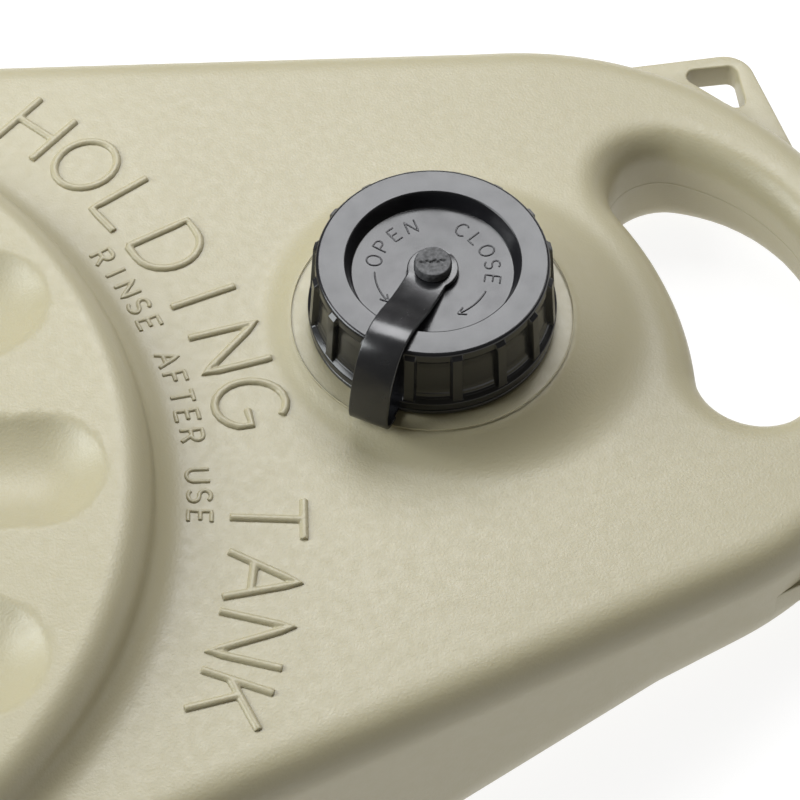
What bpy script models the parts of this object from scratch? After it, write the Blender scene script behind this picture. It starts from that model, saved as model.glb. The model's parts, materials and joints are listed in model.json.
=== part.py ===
"""Portable waste tote for a touring caravan, lying flat on its underside.

A hollow blow-moulded tank with a moulded-in handle and two corner tabs, two necks with screw
caps on tethers (inlet on top near the handle, outlet in a recess between the wheels), and two
wheels on steel pins moulded into the rear corners.

Numbers are millimetres, turned into metres where a mesh is made. The tank frame has its origin
at the centre of the inlet boss, +X towards the handle and +Z along the inlet neck. The whole
tank frame leans forward by the slope of the underside, which lies level on the ground.
"""
import math

import bmesh
import bpy
from mathutils import Matrix, Vector

MM = 0.001

# Tank, seen along the inlet neck
WALL = 3.5
UNDERSIDE_SLOPE = 0.19
UNDERSIDE_DROP = 100.0
FACE_DROP = 8.9
FACE_SLOPE = 0.111
FACE_FLAT_X = -190.0
FRONT_CENTRE_X = 49.3
FRONT_RADIUS = 135.6
SIDE_TAPER = 0.195
REAR_X = -560.0
REAR_CORNER = 45.0
TOP_ROUNDING = 15.7
TOP_ROUNDING_HANDLE = 14.0

# Handle hole: an inward arc, two round lobes and the outer arc of the grip
HOLE_BULGE_X = 94.5
HOLE_BULGE_RADIUS = 138.5
LOBE_X = 112.0
LOBE_Y = 45.5
LOBE_RADIUS = 24.0
GRIP_CENTRE_X = 79.2
GRIP_RADIUS = 80.1
HOLE_SHRINK = -2.0
GRIP_ROUNDING = 14.0

# Disc on the top face, with its radial pockets
DISC_X = -300.0
DISC_TOP = 27.0
DISC_RADIUS = 176.0
DISC_FOOT = 191.0
POCKETS = 12
POCKET_INNER = 98.0
POCKET_OUTER = 171.0
POCKET_HALF_WIDTH = 23.5
POCKET_DEPTH = 9.0
POCKET_DRAFT = 6.0

# Corner tabs at the handle end
TAB_TOP = -43.7
TAB_THICKNESS = 12.0
TAB_END_X = 174.7
TAB_MARGIN = 5.6
TAB_PROUD = 1.5

# Necks and caps, measured from the boss plane
BOSS_RADIUS = 54.0
NECK_RADIUS = 37.5
NECK_BORE = 34.7
NECK_HEIGHT = 27.3
CAP_HEIGHT = 32.0
CAP_RIM = 42.4
CAP_FLOOR = 25.4
CAP_WELL = 31.6
CAP_FLANGE = 45.7
CAP_PANELS = 16
STRAP_WIDTH = 14.0
STRAP_THICKNESS = 1.6
INLET_STRAP_ANGLE = -133.0
OUTLET_STRAP_ANGLE = 180.0
GAP = 0.3

# Outlet recess in the rear wall
OUTLET_Z = -118.0
OUTLET_DEPTH = 38.0
OUTLET_RECESS = 62.0

# Wheels, in the ground frame measured back from the inlet axis
WHEEL_RADIUS = 60.0
WHEEL_BACK = 538.0
WHEEL_MIDDLE_Y = 227.0
ARCH_RADIUS = 72.0
ARCH_WALL_Y = 205.0
PIN_RADIUS = 6.0
PIN_DEPTH = 28.0

# Ground frame: the inlet axis stands this far in front of the middle of the whole length
INLET_X = 212.2

LEAN = math.atan(UNDERSIDE_SLOPE)
TANK = (Matrix.Translation(Vector((INLET_X, 0, UNDERSIDE_DROP * math.cos(LEAN))) * MM)
        @ Matrix.Rotation(LEAN, 4, "Y"))
OUTLET = (TANK @ Matrix.Translation(Vector((REAR_X + OUTLET_DEPTH, 0, OUTLET_Z)) * MM)
          @ Matrix.Rotation(-math.pi / 2, 4, "Y"))
AXLE_X = INLET_X - WHEEL_BACK


def start_scene():
    for old in list(bpy.data.objects):
        bpy.data.objects.remove(old)
    parts = bpy.data.collections.new("waste_tote")
    cutters = bpy.data.collections.new("waste_tote_cutters")
    for collection in (parts, cutters):
        bpy.context.scene.collection.children.link(collection)
    return parts, cutters


PARTS, CUTTERS = start_scene()


def material(name, colour, roughness, metallic=0.0):
    made = bpy.data.materials.new(name)
    made.use_nodes = True
    shader = made.node_tree.nodes["Principled BSDF"]
    shader.inputs["Base Color"].default_value = (*colour, 1)
    shader.inputs["Roughness"].default_value = roughness
    shader.inputs["Metallic"].default_value = metallic
    return made


BEIGE = material("beige_polyethylene", (0.62, 0.57, 0.42), 0.5)
BLACK = material("black_polypropylene", (0.012, 0.012, 0.013), 0.22)
STRAP_BLACK = material("black_strap_plastic", (0.018, 0.018, 0.02), 0.38)
STUD_GREY = material("grey_stud_plastic", (0.06, 0.06, 0.065), 0.6)
RUBBER = material("black_rubber", (0.03, 0.03, 0.03), 0.75)
GREY = material("grey_wheel_plastic", (0.2, 0.2, 0.21), 0.45)
STEEL = material("zinc_plated_steel", (0.6, 0.6, 0.62), 0.3, 1.0)


def empty(name, matrix):
    made = bpy.data.objects.new(name, None)
    made.matrix_world = matrix
    PARTS.objects.link(made)
    return made


def add(name, mesh, parent, look=None):
    """An object: a part when it has a material, otherwise a hidden cutter."""
    made = bpy.data.objects.new(name, mesh)
    made.parent = parent
    if look:
        mesh.materials.append(look)
        PARTS.objects.link(made)
    else:
        made.hide_render = True
        made.display_type = "WIRE"
        CUTTERS.objects.link(made)
    return made


def smooth(mesh):
    mesh.shade_smooth()
    mesh.set_sharp_from_angle(angle=math.radians(35))


def loft(name, stacks, tops=None):
    """A closed mesh through stacks of equal rings, each stack a separate closed body.

    tops gives the split of the last ring into flat faces, as lists of point numbers."""
    build = bmesh.new()
    for rings in stacks:
        loops = [[build.verts.new(Vector(p) * MM) for p in ring] for ring in rings]
        count = len(loops[0])
        for low, high in zip(loops, loops[1:]):
            for i in range(count):
                j = (i + 1) % count
                build.faces.new((low[i], low[j], high[j], high[i]))
        build.faces.new(list(reversed(loops[0])))
        for top in tops or [range(count)]:
            build.faces.new([loops[-1][i] for i in top])
    mesh = bpy.data.meshes.new(name)
    build.to_mesh(mesh)
    build.free()
    smooth(mesh)
    return mesh


def turned(name, profile, parent, look=None, steps=32, closed=True):
    """A profile of (radius, height) turned about Z; it runs down its outer side first."""
    build = bmesh.new()
    verts = [build.verts.new(Vector((r, 0, z)) * MM) for r, z in profile]
    for a, b in zip(verts, verts[1:]):
        build.edges.new((a, b))
    if closed:
        build.edges.new((verts[-1], verts[0]))
    mesh = bpy.data.meshes.new(name)
    build.to_mesh(mesh)
    build.free()
    made = add(name, mesh, parent, look)
    screw = made.modifiers.new("turn", "SCREW")
    screw.axis = "Z"
    screw.steps = steps
    screw.render_steps = steps
    screw.use_merge_vertices = True
    screw.merge_threshold = 0.00001
    screw.use_smooth_shade = True
    return made


def disc_profile(radius, top, bottom):
    return [(0, top), (radius, top), (radius, bottom), (0, bottom)]


def boolean(target, cutter, operation):
    step = target.modifiers.new(f"{operation.lower()}_{cutter.name}", "BOOLEAN")
    step.operation = operation
    step.solver = "EXACT"
    step.object = cutter


def weld(target):
    """Makes one point of those that a Boolean left side by side."""
    step = target.modifiers.new("weld", "WELD")
    step.merge_threshold = 0.000002


def arc(cx, cy, radius, start, end, count):
    """Points (x, y, outward x, outward y) on an arc, angles in degrees."""
    made = []
    for i in range(count + 1):
        angle = math.radians(start + (end - start) * i / count)
        c, s = math.cos(angle), math.sin(angle)
        made.append((cx + radius * c, cy + radius * s, c, s))
    return made


def face_height(x):
    return min(-FACE_DROP - FACE_SLOPE * x, -FACE_DROP - FACE_SLOPE * FACE_FLAT_X)


def underside_height(x):
    return -UNDERSIDE_DROP + UNDERSIDE_SLOPE * x


def ramp(x, x0, value0, x1, value1):
    share = min(1.0, max(0.0, (x - x0) / (x1 - x0)))
    return value0 + (value1 - value0) * share


def top_rounding(x):
    return ramp(x, 60, TOP_ROUNDING, 150, TOP_ROUNDING_HANDLE)


def bottom_rounding(x):
    if x < -300:
        return ramp(x, -500, 30, -400, 40)
    return ramp(x, 40, 40, 150, 14.5)


def half_width(x):
    """Side wall at the parting height: the tangent of the front arc."""
    spread = math.hypot(1, SIDE_TAPER)
    return FRONT_RADIUS * spread + SIDE_TAPER * (FRONT_CENTRE_X - x)


def tank_outline():
    """Half outline from the handle round to the rear, then its mirror image."""
    normal = math.degrees(math.atan2(1, SIDE_TAPER))
    half = arc(FRONT_CENTRE_X, 0, FRONT_RADIUS, 0, normal, 11)
    c, s = math.cos(math.radians(normal)), math.sin(math.radians(normal))
    half += [(x, half_width(x), c, s) for x in (-60, FACE_FLAT_X, -300, -400)]
    corner_x = REAR_X + REAR_CORNER
    corner_y = half_width(corner_x) - REAR_CORNER * math.hypot(1, SIDE_TAPER)
    half += arc(corner_x, corner_y, REAR_CORNER, normal, 180, 5)
    return half + [(x, -y, nx, -ny) for x, y, nx, ny in reversed(half[1:])]


def tank_body(name, inset):
    """The tank's plain outer form, or its cavity when inset by the wall."""
    outline = tank_outline()
    rings = []
    for degrees in (0, 30, 60, 90):
        t = math.radians(degrees)
        ring = []
        for x, y, nx, ny in outline:
            radius = bottom_rounding(x) - inset
            back = inset + radius * (1 - math.sin(t))
            px, py = x - nx * back, y - ny * back
            ring.append((px, py, underside_height(px) + inset + radius * (1 - math.cos(t))))
        rings.append(ring)
    for degrees in (0, 30, 60, 90):
        t = math.radians(degrees)
        ring = []
        for x, y, nx, ny in outline:
            radius = top_rounding(x) - inset
            back = inset + radius * (1 - math.cos(t))
            px, py = x - nx * back, y - ny * back
            ring.append((px, py, face_height(px) - inset - radius * (1 - math.sin(t))))
        rings.append(ring)
    crease = min(i for i, point in enumerate(outline) if point[0] <= FACE_FLAT_X)
    count = len(outline)
    front = list(range(crease + 1)) + list(range(count - crease, count))
    rear = list(range(crease, count - crease + 1))
    return loft(name, [rings], [front, rear])


def hole_outline(grow):
    bulge_centre = HOLE_BULGE_X - HOLE_BULGE_RADIUS
    grip = math.degrees(math.atan2(LOBE_Y, LOBE_X - GRIP_CENTRE_X))
    bulge = math.degrees(math.atan2(LOBE_Y, LOBE_X - bulge_centre))
    points = arc(GRIP_CENTRE_X, 0, GRIP_RADIUS + grow, -grip, grip, 10)[:-1]
    points += arc(LOBE_X, LOBE_Y, LOBE_RADIUS + grow, grip, 180 + bulge, 7)[:-1]
    points += arc(bulge_centre, 0, HOLE_BULGE_RADIUS - grow, bulge, -bulge, 4)[:-1]
    points += arc(LOBE_X, -LOBE_Y, LOBE_RADIUS + grow, 180 - bulge, 360 - grip, 7)[:-1]
    return points


def hole_cutter(name, inset):
    """The handle hole with flared mouths, grown by the wall for the cavity."""
    radius = GRIP_ROUNDING - inset
    over = 1.5
    first = math.radians(35)
    steps = [(radius * (1 - math.sin(first)) + (radius * (1 - math.cos(first)) + over)
              / math.tan(first), -over)]
    for degrees in (35, 62, 90):
        t = math.radians(degrees)
        steps.append((radius * (1 - math.sin(t)), radius * (1 - math.cos(t))))
    rings = []
    for grow, rise in steps:
        ring = hole_outline(HOLE_SHRINK + inset + grow)
        rings.append([(x, y, underside_height(x) + inset + rise) for x, y, nx, ny in ring])
    for grow, rise in reversed(steps):
        ring = hole_outline(HOLE_SHRINK + inset + grow)
        rings.append([(x, y, face_height(x) - inset - rise) for x, y, nx, ny in ring])
    return loft(name, [rings])


def pocket_cutters(name, grow, ends):
    """Twelve radial pockets with round ends in the disc, as one mesh of separate cutters."""
    stacks = []
    inner = POCKET_INNER + POCKET_HALF_WIDTH
    outer = POCKET_OUTER - POCKET_HALF_WIDTH
    for i in range(POCKETS):
        turn = math.radians((i + 0.5) * 360 / POCKETS)
        rings = []
        floor = DISC_TOP - POCKET_DEPTH - grow
        for extra, z in ((grow - POCKET_DRAFT, floor), (grow, DISC_TOP + 1)):
            radius = POCKET_HALF_WIDTH + extra
            flat = arc(outer, 0, radius, -90, 90, ends) + arc(inner, 0, radius, 90, 270, ends)
            c, s = math.cos(turn), math.sin(turn)
            rings.append([(DISC_X + x * c - y * s, x * s + y * c, z) for x, y, nx, ny in flat])
        stacks.append(rings)
    return loft(name, stacks)


def rounded(corners, radius, count=4):
    """A polygon's corners (counter-clockwise) turned into arcs of one radius."""
    made = []
    size = len(corners)
    for i, corner in enumerate(corners):
        here = Vector(corner)
        back = (Vector(corners[i - 1]) - here).normalized()
        on = (Vector(corners[(i + 1) % size]) - here).normalized()
        half = back.angle(on) / 2
        centre = here + (back + on).normalized() * (radius / math.sin(half))
        first = here + back * (radius / math.tan(half)) - centre
        last = here + on * (radius / math.tan(half)) - centre
        start = math.atan2(first.y, first.x)
        sweep = (math.atan2(last.y, last.x) - start) % (2 * math.pi)
        for step in range(count + 1):
            angle = start + sweep * step / count
            made.append((centre.x + radius * math.cos(angle), centre.y + radius * math.sin(angle)))
    return made


def mirrored_prisms(name, outline, bottom, top):
    """The same flat outline as two prisms, left and right of the tank's middle."""
    stacks = []
    for side in (1, -1):
        loop = outline if side == 1 else list(reversed(outline))
        stacks.append([[(x, side * y, z) for x, y in loop] for z in (bottom, top)])
    return loft(name, stacks)


def tab_outline():
    corner = (TAB_END_X, half_width(TAB_END_X) + TAB_PROUD)
    edge = rounded([(TAB_END_X, 40), corner, (60, half_width(60)), (60, 40)], 12)[5:10]
    inner = arc(FRONT_CENTRE_X, 0, FRONT_RADIUS - 6, 76, 24, 10)
    return edge + [(x, y) for x, y, nx, ny in inner]


def slot_outline():
    end = TAB_END_X - TAB_MARGIN
    top = half_width(TAB_END_X) + TAB_PROUD - TAB_MARGIN
    return rounded([(end - 5.8, 78), (end, top + 0.5), (144, top + 5.4)], 3.6)


def arch_prisms(name, grow):
    """Wheel arches as prisms across the rear corners, open below and to the rear."""
    radius = ARCH_RADIUS + grow
    flat = [(x, z) for x, z, nx, nz in arc(AXLE_X, WHEEL_RADIUS, radius, 0, 180, 12)]
    flat += [(AXLE_X - radius, -20), (AXLE_X + radius, -20)]
    stacks = []
    for side in (1, -1):
        loop = flat if side == -1 else list(reversed(flat))
        inner, outer = side * (ARCH_WALL_Y - grow), side * 320
        stacks.append([[(x, y, z) for x, z in loop] for y in (inner, outer)])
    return loft(name, stacks)


def side_rods(name, radius, inner, outer, steps=16):
    """Two round rods along the wheel axis, left and right."""
    stacks = []
    for side in (1, -1):
        turn = arc(AXLE_X, WHEEL_RADIUS, radius, 0, -360 * side, steps)[:-1]
        stacks.append([[(x, side * y, z) for x, z, nx, nz in turn] for y in (inner, outer)])
    return loft(name, stacks)


def make_tank(tank, inlet, outlet):
    shell = add("tank_shell", tank_body("tank_shell", 0), tank, BEIGE)
    cavity = add("cut_cavity", tank_body("cut_cavity", WALL), tank)
    ground = empty("ground_frame", Matrix.Identity(4))

    disc = turned("form_disc", [(0, DISC_TOP), (DISC_RADIUS - 2, DISC_TOP),
                                (DISC_RADIUS + 2, DISC_TOP - 2), (DISC_FOOT, 8), (DISC_FOOT, -22),
                                (0, -22)], tank, steps=48, closed=False)
    disc.location.x = DISC_X * MM
    disc_in = turned("cut_disc", [(0, DISC_TOP - WALL), (DISC_RADIUS - 4, DISC_TOP - WALL),
                                  (DISC_RADIUS - 1, DISC_TOP - 5.5), (DISC_FOOT - WALL, 5),
                                  (DISC_FOOT - WALL, -24), (0, -24)], tank, steps=40, closed=False)
    disc_in.location.x = DISC_X * MM
    boss = turned("form_boss", [(0, 0), (BOSS_RADIUS - 2, 0), (BOSS_RADIUS, -2), (BOSS_RADIUS + 2, -30),
                                (0, -30)], inlet, steps=40, closed=False)
    boss_in = turned("cut_boss", [(0, -WALL), (BOSS_RADIUS - 4, -WALL), (BOSS_RADIUS - 2, -33), (0, -33)],
                     inlet, steps=28, closed=False)
    boolean(shell, disc, "UNION")
    boolean(shell, boss, "UNION")
    boolean(cavity, disc_in, "UNION")
    boolean(cavity, boss_in, "UNION")

    cut_pairs = (
        ("pockets", pocket_cutters, tank, (0, 6), (WALL, 4)),
        ("arches", arch_prisms, ground, (0,), (WALL,)),
        ("hole", hole_cutter, tank, (0,), (WALL,)),
    )
    for name, build, parent, outer, inner in cut_pairs:
        boolean(shell, add(f"cut_{name}", build(f"cut_{name}", *outer), parent), "DIFFERENCE")
        boolean(cavity, add(f"keep_{name}", build(f"keep_{name}", *inner), parent), "DIFFERENCE")
        weld(shell)
        weld(cavity)
    for target, word, grow in ((shell, "cut", 0), (cavity, "keep", WALL)):
        recess = turned(f"{word}_outlet_recess",
                        [(0, 60), (OUTLET_RECESS + 3 + grow, 60), (OUTLET_RECESS + grow, -grow), (0, -grow)],
                        outlet, steps=32, closed=False)
        dish = turned(f"{word}_underside_dish",
                      [(0, 6 + grow), (134 + grow, 6 + grow), (142 + grow, -4), (0, -4)],
                      ground, steps=32, closed=False)
        dish.location.x = (INLET_X + DISC_X) * MM
        boolean(target, recess, "DIFFERENCE")
        boolean(target, dish, "DIFFERENCE")
    sockets = add("keep_pin_sockets", side_rods("keep_pin_sockets", 15, ARCH_WALL_Y - 33, 230), ground)
    boolean(cavity, sockets, "DIFFERENCE")
    weld(cavity)
    weld(shell)
    boolean(shell, cavity, "DIFFERENCE")
    weld(shell)

    for frame, name in ((inlet, "inlet"), (outlet, "outlet")):
        neck = turned(f"form_{name}_neck", disc_profile(NECK_RADIUS, NECK_HEIGHT, -2), frame, steps=32,
                      closed=False)
        bore = turned(f"cut_{name}_bore", disc_profile(NECK_BORE, NECK_HEIGHT + 5, -12), frame, steps=32,
                      closed=False)
        for form in (neck, bore):
            form.rotation_euler.z = math.radians(3)  # keeps their corners off the boss's edges
        boolean(shell, neck, "UNION")
        boolean(shell, bore, "DIFFERENCE")
        weld(shell)
    tabs = mirrored_prisms("form_tabs", tab_outline(), TAB_TOP - TAB_THICKNESS, TAB_TOP)
    boolean(shell, add("form_tabs", tabs, tank), "UNION")
    slots = mirrored_prisms("cut_slots", slot_outline(), TAB_TOP - 30, TAB_TOP + 20)
    boolean(shell, add("cut_slots", slots, tank), "DIFFERENCE")
    weld(shell)
    pins = side_rods("cut_pin_holes", PIN_RADIUS + GAP, ARCH_WALL_Y - PIN_DEPTH, 240)
    boolean(shell, add("cut_pin_holes", pins, ground), "DIFFERENCE")
    return shell


def make_cap(side, frame):
    """A screw cap: rim, sunken well, ribbed skirt and foot flange, with the stud's hole."""
    profile = [(CAP_WELL, CAP_HEIGHT), (CAP_RIM - 1.0, CAP_HEIGHT), (CAP_RIM, CAP_HEIGHT - 1.2),
               (CAP_FLANGE - 2.4, 7.6), (CAP_FLANGE, 6.4), (CAP_FLANGE, 2.9), (38.9, 2.9),
               (38.9, 29.6), (34.3, 29.6), (33.2, 21.6), (3.4, 21.6), (3.4, CAP_FLOOR),
               (CAP_WELL - 2.0, CAP_FLOOR)]
    cap = turned(f"{side}_cap", profile, frame, BLACK, steps=28)
    stacks = []
    for i in range(CAP_PANELS):
        turn = 2 * math.pi * (i + 0.5) / CAP_PANELS
        c, s = math.cos(turn), math.sin(turn)
        rings = []
        for z, near in ((9.5, 41.9), (27.0, 41.2)):
            flat = [(near, -6.6), (52, -6.6), (52, 6.6), (near, 6.6)]
            rings.append([(x * c - y * s, x * s + y * c, z) for x, y in flat])
        stacks.append(rings)
    boolean(cap, add(f"cut_{side}_panels", loft(f"cut_{side}_panels", stacks), frame), "DIFFERENCE")
    return cap


def strap_line():
    """The strap's middle line as (distance out, height), from the eyelet over the rim and down."""
    path = [(8, 26.8), (19, 29.0), (30, 33.6), (38, 35.0), (44.5, 33.2), (49.5, 28.0),
            (53.5, 20.0), (56.0, 11.0), (56.2, 5.6), (54.0, 2.4), (50.2, 1.3)]
    left, right = [], []
    for i, (r, z) in enumerate(path):
        before = Vector(path[max(i - 1, 0)])
        after = Vector(path[min(i + 1, len(path) - 1)])
        along = (after - before).normalized()
        across = Vector((-along.y, along.x)) * STRAP_THICKNESS / 2
        left.append((r + across.x, z + across.y))
        right.append((r - across.x, z - across.y))
    return left + list(reversed(right))


def flat_curve(name, loop, thickness):
    """A filled 2D outline in its own XY plane, made a welded mesh of the given thickness."""
    curve = bpy.data.curves.new(name, "CURVE")
    curve.dimensions = "2D"
    curve.fill_mode = "BOTH"
    curve.extrude = thickness * MM / 2
    spline = curve.splines.new("POLY")
    spline.points.add(len(loop) - 1)
    for point, (x, y) in zip(spline.points, loop):
        point.co = (x * MM, y * MM, 0, 1)
    spline.use_cyclic_u = True
    drawn = bpy.data.objects.new(name, curve)
    CUTTERS.objects.link(drawn)
    graph = bpy.context.evaluated_depsgraph_get()
    mesh = bpy.data.meshes.new_from_object(drawn.evaluated_get(graph))
    bpy.data.objects.remove(drawn)
    build = bmesh.new()
    build.from_mesh(mesh)
    bmesh.ops.remove_doubles(build, verts=build.verts, dist=0.00001)
    build.to_mesh(mesh)
    build.free()
    return mesh


def make_tether(side, frame, angle):
    """Strap with its eyelet on the cap, and the ring round the neck that it grows out of."""
    strap_frame = empty(f"{side}_strap_frame", Matrix.Identity(4))
    strap_frame.parent = frame
    strap_frame.rotation_euler = (0, 0, math.radians(angle))
    strap = add(f"{side}_tether_strap", flat_curve(f"{side}_tether_strap", strap_line(), STRAP_WIDTH),
                strap_frame, STRAP_BLACK)
    strap.rotation_euler = (math.pi / 2, 0, 0)
    eye = turned(f"form_{side}_eyelet", disc_profile(9.4, 27.6, 26.0), frame, steps=20, closed=False)
    eye_hole = turned(f"cut_{side}_eyelet", disc_profile(3.7, 40, 20), frame, steps=16, closed=False)
    boolean(strap, eye, "UNION")
    boolean(strap, eye_hole, "DIFFERENCE")

    ring = turned(f"{side}_tether_ring", [(38.5, 2.3), (45.4, 2.3), (45.4, 0.4), (38.5, 0.4)], frame,
                  STRAP_BLACK, steps=28)
    lug_flat = [(41, -STRAP_WIDTH / 2), (49.8, -STRAP_WIDTH / 2), (49.8, STRAP_WIDTH / 2),
                (41, STRAP_WIDTH / 2)]
    lug = add(f"form_{side}_lug", loft(f"form_{side}_lug", [[[(x, y, z) for x, y in lug_flat]
                                                            for z in (0.5, 2.1)]]), strap_frame)
    boolean(ring, lug, "UNION")


def make_closure(side, frame, angle):
    make_cap(side, frame)
    turned(f"{side}_cap_seal", [(34.9, 29.3), (38.4, 29.3), (38.4, 27.6), (34.9, 27.6)], frame, RUBBER,
           steps=24)
    turned(f"{side}_cap_stud", [(0, 32.0), (5.6, 32.0), (7.0, 30.8), (7.0, 27.9), (3.0, 27.9),
                                (3.0, 21.3), (6.0, 21.3), (5.0, 19.2), (0, 19.2)], frame, STUD_GREY,
           steps=16, closed=False)
    make_tether(side, frame, angle)


def make_wheel(word, side):
    """One wheel on its pin; the wheel frame's +Z points outboard along the pin."""
    axis = empty(f"{word}_wheel_axis",
                 Matrix.Translation(Vector((AXLE_X, side * WHEEL_MIDDLE_Y, WHEEL_RADIUS)) * MM)
                 @ Matrix.Rotation(-side * math.pi / 2, 4, "X"))
    inner = ARCH_WALL_Y - WHEEL_MIDDLE_Y
    hub = turned(f"{word}_wheel_hub",
                 [(47, 16), (47, 13.5), (44, 12.5), (44, -12.5), (47, -13.5), (47, -16), (41, -16),
                  (40, -4), (14, -4), (14, -17), (6.4, -17), (6.4, 17), (14, 17), (14, 4), (40, 4),
                  (41, 16)], axis, GREY, steps=24)
    stacks = []
    for i in range(5):
        turn = math.radians(i * 72 + 90)
        round_hole = arc(27 * math.cos(turn), 27 * math.sin(turn), 8, 0, 360, 10)[:-1]
        stacks.append([[(x, y, z) for x, y, nx, ny in round_hole] for z in (-8, 8)])
    holes = add(f"cut_{word}_hub_holes", loft(f"cut_{word}_hub_holes", stacks), axis)
    boolean(hub, holes, "DIFFERENCE")
    turned(f"{word}_wheel_tyre",
           [(47.4, 16.5), (53, 16.5), (58, 14.0), (60, 9), (60, -9), (58, -14.0), (53, -16.5),
            (47.4, -16.5), (47.4, -13.2), (44.4, -12.2), (44.4, 12.2), (47.4, 13.2)], axis, RUBBER,
           steps=30)
    pin_end = inner - PIN_DEPTH + 0.5
    turned(f"{word}_wheel_pin", [(0, 22), (5.2, 22), (PIN_RADIUS, 21), (PIN_RADIUS, pin_end),
                                 (0, pin_end)], axis, STEEL, steps=16, closed=False)
    turned(f"{word}_wheel_washer", [(6.4, inner + 4.6), (13, inner + 4.6), (13, inner + 0.4),
                                    (6.4, inner + 0.4)], axis, GREY, steps=16)
    turned(f"{word}_wheel_retainer", [(6.3, 18.4), (11, 18.4), (11, 17.4), (6.3, 17.4)], axis, STEEL,
           steps=16)
    turned(f"{word}_hub_cap", [(0, 25), (9, 24.6), (15, 22.4), (17, 19), (17, 9), (14.4, 9),
                               (14.4, 19.6), (12, 22.4), (0, 22.6)], axis, BLACK, steps=20,
           closed=False)


def main():
    tank = empty("tank_frame", TANK)
    inlet = empty("inlet_axis", TANK)
    outlet = empty("outlet_axis", OUTLET)
    make_tank(tank, inlet, outlet)
    make_closure("inlet", inlet, INLET_STRAP_ANGLE)
    make_closure("outlet", outlet, OUTLET_STRAP_ANGLE)
    make_wheel("left", 1)
    make_wheel("right", -1)


main()
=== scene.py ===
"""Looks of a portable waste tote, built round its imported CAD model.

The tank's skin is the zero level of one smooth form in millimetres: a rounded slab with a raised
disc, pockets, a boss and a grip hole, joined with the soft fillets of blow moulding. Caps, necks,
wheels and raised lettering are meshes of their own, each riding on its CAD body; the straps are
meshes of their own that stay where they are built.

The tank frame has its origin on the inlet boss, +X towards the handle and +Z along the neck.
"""

import json
import math

import bmesh
import bpy
import numpy as np
from mathutils import Matrix, Vector


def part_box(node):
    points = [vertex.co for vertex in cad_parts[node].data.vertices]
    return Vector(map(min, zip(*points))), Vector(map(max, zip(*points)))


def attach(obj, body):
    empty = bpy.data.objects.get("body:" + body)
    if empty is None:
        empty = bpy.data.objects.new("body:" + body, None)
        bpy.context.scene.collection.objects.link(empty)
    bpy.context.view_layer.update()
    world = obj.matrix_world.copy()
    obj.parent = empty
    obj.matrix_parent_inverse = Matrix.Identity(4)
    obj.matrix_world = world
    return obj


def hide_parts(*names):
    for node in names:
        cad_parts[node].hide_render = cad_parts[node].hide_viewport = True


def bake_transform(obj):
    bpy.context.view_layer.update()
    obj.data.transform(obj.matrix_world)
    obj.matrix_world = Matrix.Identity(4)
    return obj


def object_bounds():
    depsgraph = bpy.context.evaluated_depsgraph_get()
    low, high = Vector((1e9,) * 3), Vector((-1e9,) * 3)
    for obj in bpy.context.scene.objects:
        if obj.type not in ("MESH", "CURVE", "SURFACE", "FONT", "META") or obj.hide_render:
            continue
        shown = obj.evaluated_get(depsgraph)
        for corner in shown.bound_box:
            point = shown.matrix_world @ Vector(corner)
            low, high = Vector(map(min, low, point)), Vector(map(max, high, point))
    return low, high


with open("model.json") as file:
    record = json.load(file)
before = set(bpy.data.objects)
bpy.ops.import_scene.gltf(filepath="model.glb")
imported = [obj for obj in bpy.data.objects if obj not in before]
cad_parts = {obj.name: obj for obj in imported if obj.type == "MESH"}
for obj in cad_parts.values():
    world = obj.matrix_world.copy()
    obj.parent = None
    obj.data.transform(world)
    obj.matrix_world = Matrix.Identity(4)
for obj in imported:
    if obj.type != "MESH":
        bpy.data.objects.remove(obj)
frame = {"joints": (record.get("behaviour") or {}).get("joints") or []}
cad_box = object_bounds()

MM = 0.001
WELD = 1e-4
TAB_WELD = 1e-3
JOINTS = {joint["name"]: joint for joint in frame["joints"]}
SIDES = (("left", 1), ("right", -1))
CLOSURES = ("inlet", "outlet")


def axis_frame(joint_name):
    """A frame on a joint's axis, +Z along it and +Y level."""
    joint = JOINTS[joint_name]
    z = Vector(joint["axis"]).normalized()
    y = Vector((0, 1, 0))
    made = Matrix((y.cross(z), y, z)).transposed().to_4x4()
    made.translation = Vector(joint["pos_m"])
    return made


def wheel_frame(word, side):
    """A frame on a wheel's axis, +Z outboard."""
    place = Matrix.Translation(Vector(JOINTS[f"{word}_wheel_spin"]["pos_m"]))
    return place @ Matrix.Rotation(-side * math.pi / 2, 4, "X")


TANK = axis_frame("inlet_cap_turn")
CLOSURE_FRAMES = {side: axis_frame(f"{side}_cap_turn") for side in CLOSURES}
OUTLET_IN_TANK = (TANK.inverted() @ CLOSURE_FRAMES["outlet"]).translation / MM
AXLE = Vector(JOINTS["left_wheel_spin"]["pos_m"]) / MM

# Tank, in its own frame, in millimetres; a rounding that varies is (x, radius, x, radius)
UNDERSIDE_SLOPE = 0.19
UNDERSIDE_DROP = 100.0
FACE_DROP = 8.9
FACE_SLOPE = 0.111
FACE_FLAT = 12.2
FACE_EASE = 4.0
FRONT_CENTRE_X = 49.3
FRONT_RADIUS = 135.3
SIDE_TAPER = 0.195
REAR_X = -560.0
REAR_CORNER = 45.0
TOP_ROUNDING = (60, 15.7, 150, 14)
REAR_UNDER_ROUNDING = (-500, 30, -400, 40)
FRONT_UNDER_ROUNDING = (40, 40, 150, 14.5)
SIDE_STRETCH = math.hypot(1, SIDE_TAPER)
SIDE_NORMAL = math.atan2(1, SIDE_TAPER)

DISC_X = -300.0
DISC_TOP = 26.6
DISC_HIDDEN_FOOT = -20.0
DISC_EDGE = 185.6
DISC_DRAFT = 0.08
DISC_ROUNDING = 10.8
DISC_FILLET = 11.0

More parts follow.
